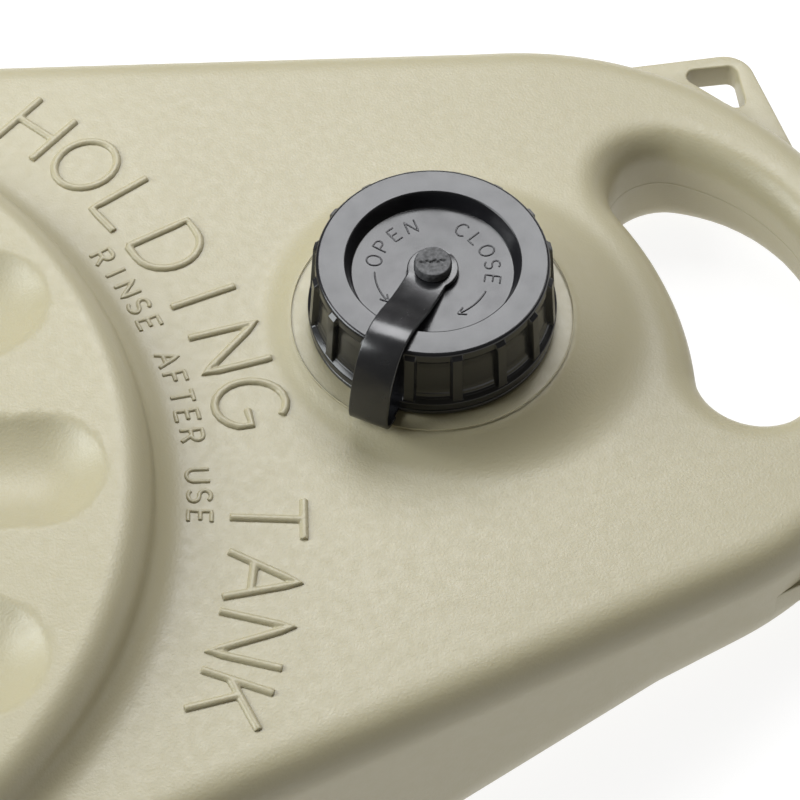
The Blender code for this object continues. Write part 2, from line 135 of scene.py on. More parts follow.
POCKETS = 12
POCKET_INNER = 121.5
POCKET_OUTER = 147.5
POCKET_RADIUS = 23.3
POCKET_DEPTH = 7.5
POCKET_EDGE = 0.8

BOSS_EDGE = 53.3
BOSS_SLOPE = 0.85
BOSS_ROUNDING = 1.5
BOSS_FILLET = 8.0
BOSS_LINE = 52.0

HOLE_BULGE_X = -44.0
HOLE_BULGE_RADIUS = 138.5
LOBE_X = 112.0
LOBE_Y = 45.5
LOBE_RADIUS = 24.0
GRIP_CENTRE_X = 79.2
GRIP_RADIUS = 80.1
HOLE_SHRINK = 2.0
GRIP_TOP_ROUNDING = 15.0
GRIP_UNDER_ROUNDING = 14.0
HANDLE_EDGE = 3.0

TAB_TOP = -43.7
TAB_THICKNESS = 12.0
TAB_END_X = 174.4
TAB_MARGIN = 5.6
TAB_PROUD = 1.5
PARTING_Z = -48.9

# Outlet recess in the rear wall, wheel arches and the dish in the underside
RECESS_RADIUS = 62.0
RECESS_FLARE = 0.05
RECESS_ROUNDING = 6.0
ARCH_RADIUS = 72.0
ARCH_INNER_Y = 205.0
ARCH_CORNER = 8.0
ARCH_EDGE = 5.0
DISH_RADIUS = 138.0
DISH_HEIGHT = 6.0
DISH_ROUNDING = 4.0

# Closures
NECK_BORE = 34.7
NECK_RADIUS = 37.5
NECK_HEIGHT = 27.3
BORE_GAP = 1.0
BORE_DEPTH = 40.0
BORE_EDGE = 0.5
CAP_PANELS = 16
CAP_RIM_TOP = 32.0
CAP_FLOOR = 25.4
CAP_DRAFT = 0.07
RIB_TURN = -7.5
STRAP_ANGLES = {"inlet": -133.0, "outlet": 180.0}
STRAP_WIDTH = 15.0
STRAP_THICKNESS = 1.6

TREAD_BLOCKS = 36
HUB_HOLES = 5

SKIN_STEP = 3.0


# ---------------------------------------------------------------- materials

def new_material(name, colour, roughness, metallic=0.0):
    made = bpy.data.materials.new(name)
    made.use_nodes = True
    shader = made.node_tree.nodes["Principled BSDF"]
    shader.inputs["Base Color"].default_value = (*colour, 1)
    shader.inputs["Roughness"].default_value = roughness
    shader.inputs["Metallic"].default_value = metallic
    return made, made.node_tree, shader


def noise(tree, scale, detail=2.0, stretch=(1, 1, 1)):
    """Noise in the object's own coordinates, scale in waves per metre."""
    place = tree.nodes.new("ShaderNodeTexCoord")
    size = tree.nodes.new("ShaderNodeMapping")
    size.inputs["Scale"].default_value = stretch
    made = tree.nodes.new("ShaderNodeTexNoise")
    made.inputs["Scale"].default_value = scale
    made.inputs["Detail"].default_value = detail
    tree.links.new(place.outputs["Object"], size.inputs["Vector"])
    tree.links.new(size.outputs["Vector"], made.inputs["Vector"])
    return made.outputs["Fac"]


def ramp(tree, value, stops):
    """A value mapped between two colour stops (position, colour)."""
    made = tree.nodes.new("ShaderNodeValToRGB")
    first, last = made.color_ramp.elements
    for end, (position, colour) in zip((first, last), stops):
        end.position = position
        end.color = (*colour, 1)
    tree.links.new(value, made.inputs["Fac"])
    return made.outputs["Color"]


def spread(tree, value, low, high):
    """A noise value mapped from its middle range to low..high."""
    made = tree.nodes.new("ShaderNodeMapRange")
    made.inputs["From Min"].default_value = 0.3
    made.inputs["From Max"].default_value = 0.7
    made.inputs["To Min"].default_value = low
    made.inputs["To Max"].default_value = high
    tree.links.new(value, made.inputs["Value"])
    return made.outputs["Result"]


def bump(tree, shader, layers):
    """Bump from (height, distance in metres, strength) layers, one on top of the other."""
    normal = None
    for height, distance, strength in layers:
        made = tree.nodes.new("ShaderNodeBump")
        made.inputs["Distance"].default_value = distance
        made.inputs["Strength"].default_value = strength
        tree.links.new(height, made.inputs["Height"])
        if normal:
            tree.links.new(normal, made.inputs["Normal"])
        normal = made.outputs["Normal"]
    tree.links.new(normal, shader.inputs["Normal"])


def beige_polyethylene():
    """Blow-moulded polyethylene: fine pebble grain, faint waviness, a little cloudy."""
    made, tree, shader = new_material("beige_polyethylene", (0.413, 0.374, 0.247), 0.42)
    cloud = [(0.3, (0.405, 0.366, 0.241)), (0.7, (0.421, 0.382, 0.254))]
    tree.links.new(ramp(tree, noise(tree, 9, 3), cloud), shader.inputs["Base Color"])
    tree.links.new(spread(tree, noise(tree, 260, 3), 0.38, 0.47), shader.inputs["Roughness"])
    bump(tree, shader, [(noise(tree, 9, 1), 0.0006, 0.2), (noise(tree, 1000, 2), 0.00018, 0.6)])
    shader.inputs["Specular IOR Level"].default_value = 0.6
    shader.inputs["Subsurface Weight"].default_value = 0.12
    shader.inputs["Subsurface Radius"].default_value = (1.0, 0.75, 0.4)
    shader.inputs["Subsurface Scale"].default_value = 0.003
    return made


def black_polypropylene():
    """Injection-moulded, glossy, with faint flow marks and fine handling scratches."""
    made, tree, shader = new_material("black_polypropylene", (0.012, 0.012, 0.014), 0.2)
    tree.links.new(spread(tree, noise(tree, 120, 4), 0.17, 0.27), shader.inputs["Roughness"])
    scratches = noise(tree, 60, 5, (1, 14, 3))
    bump(tree, shader, [(noise(tree, 45, 1), 0.0002, 0.2), (scratches, 0.00003, 0.25)])
    return made


def strap_plastic():
    """Satin black and smooth, with a fine grain drawn along the strap."""
    made, tree, shader = new_material("black_strap_plastic", (0.016, 0.016, 0.018), 0.36)
    tree.links.new(spread(tree, noise(tree, 200, 4), 0.2, 0.28), shader.inputs["Roughness"])
    shader.inputs["Specular IOR Level"].default_value = 0.7
    bump(tree, shader, [(noise(tree, 500, 3, (1, 1, 0.3)), 0.00005, 0.3)])
    return made


def stud_plastic():
    """Dark grey, dull and slightly chalky on top."""
    made, tree, shader = new_material("grey_stud_plastic", (0.06, 0.06, 0.063), 0.6)
    chalk = [(0.35, (0.035, 0.035, 0.037)), (0.7, (0.11, 0.11, 0.115))]
    tree.links.new(ramp(tree, noise(tree, 700, 5), chalk), shader.inputs["Base Color"])
    tree.links.new(spread(tree, noise(tree, 500, 4), 0.48, 0.7), shader.inputs["Roughness"])
    bump(tree, shader, [(noise(tree, 900, 4), 0.00015, 0.5)])
    return made


def rubber(name, colour):
    """Dull and fine-grained, dusty in patches."""
    made, tree, shader = new_material(name, colour, 0.75)
    dust = [(0.4, colour), (0.75, tuple(c + 0.025 for c in colour))]
    tree.links.new(ramp(tree, noise(tree, 70, 5), dust), shader.inputs["Base Color"])
    tree.links.new(spread(tree, noise(tree, 150, 4), 0.66, 0.85), shader.inputs["Roughness"])
    bump(tree, shader, [(noise(tree, 1100, 3), 0.00012, 0.45)])
    return made


def wheel_plastic():
    """Semi-matte grey with a slight cloudiness."""
    made, tree, shader = new_material("grey_wheel_plastic", (0.13, 0.13, 0.135), 0.42)
    shade = [(0.3, (0.115, 0.115, 0.12)), (0.7, (0.145, 0.145, 0.15))]
    tree.links.new(ramp(tree, noise(tree, 30, 3), shade), shader.inputs["Base Color"])
    tree.links.new(spread(tree, noise(tree, 180, 3), 0.36, 0.5), shader.inputs["Roughness"])
    bump(tree, shader, [(noise(tree, 900, 2), 0.00008, 0.35)])
    return made


def plated_steel():
    """Zinc plate with drawn lines along the bar."""
    made, tree, shader = new_material("zinc_plated_steel", (0.62, 0.62, 0.64), 0.3, 1.0)
    tree.links.new(spread(tree, noise(tree, 300, 4), 0.22, 0.4), shader.inputs["Roughness"])
    bump(tree, shader, [(noise(tree, 400, 3, (1, 0.08, 1)), 0.00004, 0.4)])
    return made


LOOKS = {
    "tank_plastic": beige_polyethylene(),
    "cap_plastic": black_polypropylene(),
    "strap_plastic": strap_plastic(),
    "stud_plastic": stud_plastic(),
    "seal_rubber": rubber("black_seal_rubber", (0.02, 0.02, 0.02)),
    "tyre_rubber": rubber("black_tyre_rubber", (0.028, 0.028, 0.028)),
    "wheel_plastic": wheel_plastic(),
    "plated_steel": plated_steel(),
}


# ---------------------------------------------------------------- mesh helpers

def piece(name, mesh, place, slot, body=None, replaced=()):
    """A mesh in millimetres put in its frame, finished and tied to its CAD body."""
    mesh.transform(place @ Matrix.Scale(MM, 4))
    mesh.materials.clear()
    mesh.materials.append(LOOKS[slot])
    made = bpy.data.objects.new(name, mesh)
    bpy.context.scene.collection.objects.link(made)
    if body:
        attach(made, body)
    if replaced:
        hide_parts(*replaced)
    return made


def new_mesh(name, points, faces):
    mesh = bpy.data.meshes.new(name)
    mesh.from_pydata([tuple(p) for p in points], [], [tuple(f) for f in faces])
    mesh.validate()
    mesh.shade_smooth()
    return mesh


def smoothed(mesh, sharp):
    """Smooth shading, broken at edges that bend by more than an angle in degrees."""
    mesh.shade_smooth()
    mesh.set_sharp_from_angle(angle=math.radians(sharp))
    return mesh


def mended(mesh, weld=0.0, outwards=True):
    """Points closer than the weld distance merged, and faces turned outwards."""
    build = bmesh.new()
    build.from_mesh(mesh)
    if weld:
        bmesh.ops.remove_doubles(build, verts=build.verts, dist=weld)
    if outwards:
        bmesh.ops.recalc_face_normals(build, faces=build.faces)
    build.to_mesh(mesh)
    build.free()
    return mesh


def evaluated(made):
    """A mesh copy of an object with its modifiers applied; the object is removed."""
    bpy.context.view_layer.update()
    graph = bpy.context.evaluated_depsgraph_get()
    mesh = bpy.data.meshes.new_from_object(made.evaluated_get(graph))
    bpy.data.objects.remove(made)
    return mesh


def loose(name, mesh):
    """An object that isn't a finished piece: a step on the way to one, or the floor."""
    made = bpy.data.objects.new(name, mesh)
    bpy.context.scene.collection.objects.link(made)
    return made


def arc(cx, cy, radius, start, end, count):
    """Points round a centre, from start to end in degrees."""
    angles = np.radians(np.linspace(start, end, count + 1))
    return [(cx + radius * math.cos(a), cy + radius * math.sin(a)) for a in angles]


def softened(corners, closed=True, count=5):
    """A polygon's corners (x, y, radius), each turned into an arc of count steps."""
    made = []
    size = len(corners)
    for i, (x, y, radius) in enumerate(corners):
        if radius == 0 or (not closed and i in (0, size - 1)):
            made.append((x, y))
            continue
        here = Vector((x, y))
        back = (Vector(corners[i - 1][:2]) - here).normalized()
        on = (Vector(corners[(i + 1) % size][:2]) - here).normalized()
        half = back.angle(on) / 2
        centre = here + (back + on).normalized() * (radius / math.sin(half))
        first = here + back * (radius / math.tan(half)) - centre
        last = here + on * (radius / math.tan(half)) - centre
        sweep = first.angle_signed(last)
        start = math.atan2(first.y, first.x)
        for step in range(count + 1):
            angle = start - sweep * step / count
            made.append((centre.x + radius * math.cos(angle), centre.y + radius * math.sin(angle)))
    return made


def strip_faces(rows, count, closed):
    """Quads between rows of count points each, every row a closed ring."""
    faces = []
    for i in range(rows if closed else rows - 1):
        j = (i + 1) % rows
        for k in range(count):
            n = (k + 1) % count
            faces.append((i * count + k, i * count + n, j * count + n, j * count + k))
    return faces


def spun(name, profile, angles=96, change=None, sharp=35):
    """A closed profile (radius, height) spun about Z, downward on its outer side.

    angles is a count or the angles themselves; change(r, z, angle) moves the radius and height."""
    if isinstance(angles, int):
        angles = np.linspace(0, 2 * math.pi, angles, endpoint=False)
    turn = angles[:, None]
    outline = np.array(profile, float)
    count, turns = len(outline), len(turn)
    radius = np.repeat(outline[None, :, 0], turns, 0)
    height = np.repeat(outline[None, :, 1], turns, 0)
    if change:
        radius, height = change(radius, height, turn)
    points = np.stack([radius * np.cos(turn), radius * np.sin(turn), height], -1).reshape(-1, 3)
    mesh = new_mesh(name, points, strip_faces(turns, count, closed=True))
    return smoothed(mended(mesh, WELD), sharp)


def spun_piece(name, profile, angles, place, slot, body, *replaced):
    """A spun profile as a finished piece."""
    return piece(name, spun(name, profile, angles), place, slot, body, replaced)


def tube(name, runs, radius, closed=False, sides=3):
    """Poly runs of points as round tubes with flat ends, as one mesh."""
    curve = bpy.data.curves.new(name, "CURVE")
    curve.dimensions = "3D"
    curve.bevel_depth = radius
    curve.bevel_resolution = sides
    curve.use_fill_caps = not closed
    for run in runs:
        spline = curve.splines.new("POLY")
        spline.points.add(len(run) - 1)
        for point, place in zip(spline.points, run):
            point.co = (*place, 1)
        spline.use_cyclic_u = closed
    mesh = evaluated(loose(name, curve))
    return smoothed(mended(mesh, WELD, outwards=False), 40)


# ---------------------------------------------------------------- the tank's form

def meet(a, b, radius):
    """Where two solids overlap, with the edge rounded to a radius."""
    u, v = a + radius, b + radius
    return np.hypot(np.maximum(u, 0), np.maximum(v, 0)) + np.minimum(np.maximum(u, v), 0) - radius


def join(a, b, radius):
    """Two solids together, with a hollow fillet where they meet."""
    return -meet(-a, -b, radius)


def eased(a, b, width):
    """The lower of two heights, rounded off where they differ by less than the width."""
    return np.minimum(a, b) - np.maximum(width - np.abs(a - b), 0) ** 2 / (4 * width)


def between(value, low, value_low, high, value_high):
    """A value that goes evenly from value_low to value_high, and stays level outside."""
    share = np.clip((value - low) / (high - low), 0, 1)
    return value_low + (value_high - value_low) * share


def face_height(x):
    """The top face: sloping down to the handle, level behind, with an easy change between."""
    return eased(-FACE_DROP - FACE_SLOPE * x, FACE_FLAT, FACE_EASE)


def top_height(x, y):
    """The top face with the boss, whose flat and sloping wall are eased into it."""
    boss = eased((BOSS_EDGE - np.hypot(x, y)) * BOSS_SLOPE, 0, BOSS_ROUNDING)
    return -eased(-face_height(x), -boss, BOSS_FILLET)


def underside_height(x):
    return -UNDERSIDE_DROP + UNDERSIDE_SLOPE * x


def half_width(x):
    """Half the tank's width where its sides are straight."""
    return FRONT_RADIUS * SIDE_STRETCH + SIDE_TAPER * (FRONT_CENTRE_X - x)


def plan_distance(x, side):
    """Distance outside the tank's outline; side is |y|."""
    straight = (side - half_width(x)) / SIDE_STRETCH
    front = np.hypot(x - FRONT_CENTRE_X, side) - FRONT_RADIUS
    ahead = np.arctan2(side, x - FRONT_CENTRE_X) < SIDE_NORMAL
    made = np.maximum(np.where(ahead, front, straight), REAR_X - x)
    corner_x = REAR_X + REAR_CORNER
    corner_y = half_width(corner_x) - REAR_CORNER * SIDE_STRETCH
    angle = np.arctan2(side - corner_y, x - corner_x)
    corner = np.hypot(x - corner_x, side - corner_y) - REAR_CORNER
    return np.where(angle > SIDE_NORMAL, corner, made)


def hole_distance(x, side):
    """Distance outside the grip hole; side is |y|."""
    bulge = HOLE_BULGE_RADIUS - np.hypot(x - HOLE_BULGE_X, side)
    grip = np.hypot(x - GRIP_CENTRE_X, side) - GRIP_RADIUS
    lobe = np.hypot(x - LOBE_X, side - LOBE_Y) - LOBE_RADIUS
    angle = np.degrees(np.arctan2(side - LOBE_Y, x - LOBE_X)) % 360
    start = math.degrees(math.atan2(LOBE_Y, LOBE_X - GRIP_CENTRE_X))
    end = 180 + math.degrees(math.atan2(LOBE_Y, LOBE_X - HOLE_BULGE_X))
    return np.where((angle > start) & (angle < end), lobe, np.maximum(bulge, grip)) + HOLE_SHRINK


def ground_place(x, z):
    """Tank frame to the level frame on the ground: x and height."""
    lean = math.atan(UNDERSIDE_SLOPE)
    c, s = math.cos(lean), math.sin(lean)
    origin = TANK.translation / MM
    return origin.x + c * x + s * z, origin.z - s * x + c * z


def pocket_form(x, y, z):
    """Below zero inside the bowl-shaped pockets set round the disc."""
    radius = np.hypot(x - DISC_X, y)
    pitch = 2 * math.pi / POCKETS
    angle = np.arctan2(y, x - DISC_X) % pitch - pitch / 2
    along, across = radius * np.cos(angle), radius * np.sin(angle)
    reach = np.hypot(along - np.clip(along, POCKET_INNER, POCKET_OUTER), across)
    share = reach / POCKET_RADIUS
    bowl = DISC_TOP - POCKET_DEPTH * (1 - share * share)
    return (bowl - z) / np.hypot(1, 2 * POCKET_DEPTH * share / POCKET_RADIUS)


def slab_form(x, y, z):
    """The rounded slab with the boss on it and the grip hole through it."""
    side = np.abs(y)
    face = z - top_height(x, y)
    under = (underside_height(x) - z) / math.hypot(1, UNDERSIDE_SLOPE)
    under_rounding = np.where(x < DISC_X, between(x, *REAR_UNDER_ROUNDING),
                              between(x, *FRONT_UNDER_ROUNDING))
    outer = meet(plan_distance(x, side), face, between(x, *TOP_ROUNDING))
    grip = meet(meet(-hole_distance(x, side), face, GRIP_TOP_ROUNDING), under, GRIP_UNDER_ROUNDING)
    return meet(meet(outer, under, under_rounding), grip, HANDLE_EDGE)


def disc_form(x, y, z):
    """The raised disc, whose foot is hidden in the slab."""
    out = np.hypot(x - DISC_X, y) - DISC_EDGE
    wall = (out + (z - DISC_TOP) * DISC_DRAFT) / math.hypot(1, DISC_DRAFT)
    return np.maximum(meet(wall, z - DISC_TOP, DISC_ROUNDING), DISC_HIDDEN_FOOT - z)


def bore_form(radius, out):
    """A neck's bore, from its radius and the way out along its axis."""
    return np.maximum(radius - NECK_BORE - BORE_GAP, -BORE_DEPTH - out)


def arch_form(ground_x, side, height):
    """A wheel arch: round over the axle, straight below it and open at the side."""
    along = ground_x - AXLE.x
    reach = np.where(height < AXLE.z, np.abs(along), np.hypot(along, height - AXLE.z))
    return meet(reach - ARCH_RADIUS, ARCH_INNER_Y - side, ARCH_CORNER)


def tank_form(x, y, z):
    """Below zero inside the tank, close to a distance in millimetres near its surface."""
    body = join(slab_form(x, y, z), disc_form(x, y, z), DISC_FILLET)
    body = meet(body, -pocket_form(x, y, z), POCKET_EDGE)
    body = meet(body, -bore_form(np.hypot(x, y), z), BORE_EDGE)

    out = OUTLET_IN_TANK.x - x
    outlet_radius = np.hypot(y, z - OUTLET_IN_TANK.z)
    recess = meet(outlet_radius - RECESS_RADIUS - out * RECESS_FLARE, -out, RECESS_ROUNDING)
    body = meet(body, -recess, RECESS_ROUNDING)
    body = meet(body, -bore_form(outlet_radius, out), BORE_EDGE)

    ground_x, height = ground_place(x, z)
    body = meet(body, -arch_form(ground_x, np.abs(y), height), ARCH_EDGE)
    dish_radius = np.hypot(ground_x - (TANK.translation.x / MM + DISC_X), y)
    dish = meet(dish_radius - DISH_RADIUS, height - DISH_HEIGHT, DISH_ROUNDING)
    return meet(body, -dish, DISH_ROUNDING)


def form_slope(points):
    """The form's value and slope at points."""
    reach = 0.1
    slope = np.empty_like(points)
    for axis in range(3):
        ahead, back = points.copy(), points.copy()
        ahead[:, axis] += reach
        back[:, axis] -= reach
        slope[:, axis] = (tank_form(*ahead.T) - tank_form(*back.T)) / (2 * reach)
    return tank_form(*points.T), slope


def settled(points, rounds=5):
    """Points moved onto the form's surface, and its outward direction there."""
    longest, flattest, tiny = 2, 0.05, 1e-6
    for _ in range(rounds):
        value, slope = form_slope(points)
        square = np.maximum((slope ** 2).sum(1), flattest)
        points = points - slope * np.clip(value / square, -longest, longest)[:, None]
    slope = form_slope(points)[1]
    return points, slope / np.maximum(np.linalg.norm(slope, axis=1), tiny)[:, None]


def level_surface(low, high, step):
    """Quads round the form's zero level, with one point in each grid cell that it crosses."""
    counts = [math.ceil((b - a) / step) + 1 for a, b in zip(low, high)]
    axes = [a + step * np.arange(n) for a, n in zip(low, counts)]
    value = tank_form(*np.meshgrid(*axes, indexing="ij"))
    cells = np.array(counts)
    total = np.zeros((int(np.prod(cells)), 3))
    hits = np.zeros(len(total))
    quads = []
    for axis in range(3):
        near = np.moveaxis(value, axis, 0)[:-1]
        far = np.moveaxis(value, axis, 0)[1:]
        found = np.argwhere((near < 0) != (far < 0))
        start, end = near[tuple(found.T)], far[tuple(found.T)]
        order = [axis] + [k for k in range(3) if k != axis]
        index = np.empty_like(found)
        index[:, order] = found
        place = np.array(low) + step * index
        place[:, axis] += step * start / (start - end)
        u, v = (axis + 1) % 3, (axis + 2) % 3
        ring = []
        for du, dv in ((1, 1), (0, 1), (0, 0), (1, 0)):
            cell = index.copy()
            cell[:, u] -= du
            cell[:, v] -= dv
            number = np.ravel_multi_index(cell.T, cells)
            for k in range(3):
                total[:, k] += np.bincount(number, place[:, k], len(total))
            hits += np.bincount(number, minlength=len(total))
            ring.append(number)
        ring = np.stack(ring, 1)
        quads.append(np.where((start < 0)[:, None], ring, ring[:, ::-1]))
    quads = np.concatenate(quads)
    used, numbered = np.unique(quads, return_inverse=True)
    return total[used] / hits[used, None], numbered.reshape(-1, 4)


def tank_skin():
    """The tank's outer skin: a fine grid surface, thinned where it is flat, and settled again."""
    margin = 2 * SKIN_STEP
    low = (REAR_X - margin, -half_width(REAR_X) - margin, underside_height(REAR_X) - margin)
    high = (FRONT_CENTRE_X + FRONT_RADIUS + margin, half_width(REAR_X) + margin, DISC_TOP + margin)
    points, quads = level_surface(low, high, SKIN_STEP)
    points, _ = settled(points, 3)
    rough = loose("skin", new_mesh("skin", points, quads))
    thin = rough.modifiers.new("thin", "DECIMATE")
    thin.ratio = 0.6
    mesh = evaluated(rough)
    places = np.empty(len(mesh.vertices) * 3)
    mesh.vertices.foreach_get("co", places)
    places, outward = settled(places.reshape(-1, 3))
    mesh.vertices.foreach_set("co", places.ravel())
    mesh.shade_smooth()
    mesh.normals_split_custom_set_from_vertices([tuple(n) for n in outward])
    mesh.name = "tank_skin"
    return piece("tank_skin", mesh, TANK, "tank_plastic", "tank", ["tank_shell"])


def tab_outline():
    """One corner tab's edge: round outer corner, inner side hidden in the tank."""
    corner_y = half_width(TAB_END_X) + TAB_PROUD
    inner = arc(FRONT_CENTRE_X, 0, FRONT_RADIUS - 8, 76, 24, 12)
    outer = [(TAB_END_X, 42, 0), (TAB_END_X, corner_y, 12), (70, half_width(70) - 1, 0)]
    return softened(outer, closed=False, count=10) + inner


def slot_outline():
    """The tab's three-sided slot, an even margin inside the tab's two free edges."""
    end = TAB_END_X - TAB_MARGIN
    top = half_width(TAB_END_X) + TAB_PROUD - TAB_MARGIN
    return softened([(end - 5.0, 83, 3.6), (end, top + 0.5, 3.6), (144, top + 5.4, 3.6)], count=8)


def corner_tab(word, side):
    """A flat tab with a three-sided slot, its edges slightly rounded."""
    curve = bpy.data.curves.new("tab", "CURVE")
    curve.dimensions = "2D"
    curve.fill_mode = "BOTH"
    rounding = 0.9
    curve.extrude = TAB_THICKNESS / 2 - rounding
    curve.bevel_depth = rounding
    curve.bevel_resolution = 3
    curve.offset = -rounding
    for loop in (tab_outline(), slot_outline()):
        spline = curve.splines.new("POLY")
        spline.points.add(len(loop) - 1)
        for point, (x, y) in zip(spline.points, loop):
            point.co = (x, side * y, 0, 1)
        spline.use_cyclic_u = True
    mesh = smoothed(mended(evaluated(loose("tab", curve)), TAB_WELD), 35)
    mesh.transform(Matrix.Translation((0, 0, TAB_TOP - TAB_THICKNESS / 2)))
    piece(f"{word}_corner_tab", mesh, TANK, "tank_plastic", "tank")


def hole_edge(grow, count=16):
    """The grip hole's outline as points, grown outwards."""
    grip = math.degrees(math.atan2(LOBE_Y, LOBE_X - GRIP_CENTRE_X))
    bulge = math.degrees(math.atan2(LOBE_Y, LOBE_X - HOLE_BULGE_X))
    grow -= HOLE_SHRINK
    points = arc(GRIP_CENTRE_X, 0, GRIP_RADIUS + grow, -grip, grip, 2 * count)[:-1]
    points += arc(LOBE_X, LOBE_Y, LOBE_RADIUS + grow, grip, 180 + bulge, count)[:-1]
    points += arc(HOLE_BULGE_X, 0, HOLE_BULGE_RADIUS - grow, bulge, -bulge, count)[:-1]
    return points + arc(LOBE_X, -LOBE_Y, LOBE_RADIUS + grow, 180 - bulge, 360 - grip, count)[:-1]


def parting_lines():
    """The low ridge that the two mould halves leave inside the grip and round the handle."""
    ridge, grip_proud, handle_proud = 1.2, 0.16, 0.08
    inside = [(x, y, PARTING_Z) for x, y in hole_edge(ridge - grip_proud, 24)]
    inner = tube("grip_parting_line", [inside], ridge, closed=True)
    piece("grip_parting_line", inner, TANK, "tank_plastic", "tank")
    front = arc(FRONT_CENTRE_X, 0, FRONT_RADIUS - ridge + handle_proud, -60, 60, 90)
    outer = tube("handle_parting_line", [[(x, y, PARTING_Z) for x, y in front]], ridge)
    piece("handle_parting_line", outer, TANK, "tank_plastic", "tank")


def boss_line():
    """The fine ring that the neck's mould insert leaves on the boss."""
    section = arc(BOSS_LINE, 0.02, 0.28, 90, -270, 10)[:-1]
    spun_piece("inlet_boss_line", section, 160, TANK, "tank_plastic", "tank")


# ---------------------------------------------------------------- raised lettering

def bow(cx, cy, rx, ry, start, end, count):
    """Part of an ellipse, from start to end in degrees."""
    angles = np.radians(np.linspace(start, end, count + 1))
    return [(cx + rx * math.cos(a), cy + ry * math.sin(a)) for a in angles]


# Plain capitals as strokes in a box of height 1: width, strokes
LETTERS = {
    "A": (0.74, [[(0, 0), (0.37, 1), (0.74, 0)], [(0.15, 0.36), (0.59, 0.36)]]),
    "C": (0.68, [bow(0.4, 0.5, 0.4, 0.5, 48, 312, 16)]),
    "D": (0.66, [[(0, 0), (0, 1)] + bow(0.24, 0.5, 0.42, 0.5, 90, -90, 12) + [(0, 0)]]),
    "E": (0.56, [[(0.56, 0), (0, 0), (0, 1), (0.56, 1)], [(0, 0.52), (0.48, 0.52)]]),
    "F": (0.54, [[(0, 0), (0, 1), (0.54, 1)], [(0, 0.5), (0.46, 0.5)]]),
    "G": (0.74, [bow(0.4, 0.5, 0.4, 0.5, 50, 330, 16) + [(0.76, 0.44), (0.48, 0.44)]]),
    "H": (0.66, [[(0, 0), (0, 1)], [(0.66, 0), (0.66, 1)], [(0, 0.51), (0.66, 0.51)]]),
    "I": (0.0, [[(0, 0), (0, 1)]]),
    "K": (0.62, [[(0, 0), (0, 1)], [(0.6, 1), (0, 0.4)], [(0.2, 0.58), (0.64, 0)]]),
    "L": (0.52, [[(0, 1), (0, 0), (0.52, 0)]]),
    "N": (0.66, [[(0, 0), (0, 1), (0.66, 0), (0.66, 1)]]),
    "O": (0.8, [bow(0.4, 0.5, 0.4, 0.5, 0, 360, 24)]),
    "P": (0.58, [[(0, 0), (0, 1)] + bow(0.32, 0.745, 0.26, 0.255, 90, -90, 8) + [(0, 0.49)]]),
    "R": (0.6, [[(0, 0), (0, 1)] + bow(0.32, 0.745, 0.26, 0.255, 90, -90, 8) + [(0, 0.49)],
                [(0.3, 0.49), (0.6, 0)]]),
    "S": (0.6, [bow(0.3, 0.745, 0.28, 0.255, 30, 270, 12) + bow(0.3, 0.25, 0.3, 0.24, 90, -150, 12)[1:]]),
    "T": (0.66, [[(0, 1), (0.66, 1)], [(0.33, 0), (0.33, 1)]]),
    "U": (0.64, [[(0, 1)] + bow(0.32, 0.32, 0.32, 0.32, 180, 360, 12) + [(0.64, 1)]]),
}


def skin_height(x, y):
    """The height of the tank's top skin at points, by halving."""
    below, above, halvings = 8, 4, 24
    low, high = face_height(x) - below, np.full_like(x, DISC_TOP + above)
    for _ in range(halvings):
        middle = (low + high) / 2
        inside = tank_form(x, y, middle) < 0
        low, high = np.where(inside, middle, low), np.where(inside, high, middle)
    return low


def arc_lettering(text, centre_x, radius, height, start, end, sink, flat=None):
    """Strokes of a word set round a circle, letter tops outwards, read clockwise.

    They lie on a flat floor or, without one, on the tank's skin, sunk by the given depth."""
    runs = []
    for i, letter in enumerate(text):
        if letter == " ":
            continue
        width, strokes = LETTERS[letter]
        angle = math.radians(start + (end - start) * i / (len(text) - 1))
        up = Vector((math.cos(angle), math.sin(angle)))
        right = Vector((up.y, -up.x))
        for stroke in strokes:
            along, out = np.array(divided(stroke)).T
            along, out = (along - width / 2) * height, radius + out * height
            x = centre_x + along * right.x + out * up.x
            y = along * right.y + out * up.y
            z = skin_height(x, y) if flat is None else np.full_like(x, flat)
            runs.append(np.stack([x, y, z - sink], 1))
    return runs


def divided(stroke):
    """A stroke with points between its ends, so that it can follow a curved skin."""
    spacing = 0.2
    made = [stroke[0]]
    for (x0, y0), (x1, y1) in zip(stroke, stroke[1:]):
        parts = max(1, round(math.hypot(x1 - x0, y1 - y0) / spacing))
        made += [(x0 + (x1 - x0) * i / parts, y0 + (y1 - y0) * i / parts) for i in range(1, parts + 1)]
    return made


def lettering(name, runs, stroke, voxel, place, slot, body):
    """Strokes as half-round raised bars, melted into one soft skin."""
    rough = loose(name, tube(name, runs, stroke / 2))
    melt = rough.modifiers.new("melt", "REMESH")
    melt.mode = "VOXEL"
    melt.voxel_size = voxel
    melt.use_smooth_shade = True
    ease = rough.modifiers.new("ease", "SMOOTH")
    ease.factor = 0.5
    ease.iterations = 2
    thin = rough.modifiers.new("thin", "DECIMATE")
    thin.ratio = 0.35
    mesh = evaluated(rough)
    mesh.shade_smooth()
    piece(name, mesh, place, slot, body)


def tank_lettering():
    """Generic words in place of a maker's: letter height, first and last angle, depth sunk."""
    large = arc_lettering("HOLDING TANK", DISC_X, 212.5, 26, 35, -36.5, 0.35)
    lettering("large_lettering", large, 3.5, 0.42, TANK, "tank_plastic", "tank")
    small = arc_lettering("RINSE AFTER USE", DISC_X, 198.0, 8.2, 18, -17, 0.15)
    lettering("small_lettering", small, 1.8, 0.24, TANK, "tank_plastic", "tank")


# ---------------------------------------------------------------- closures

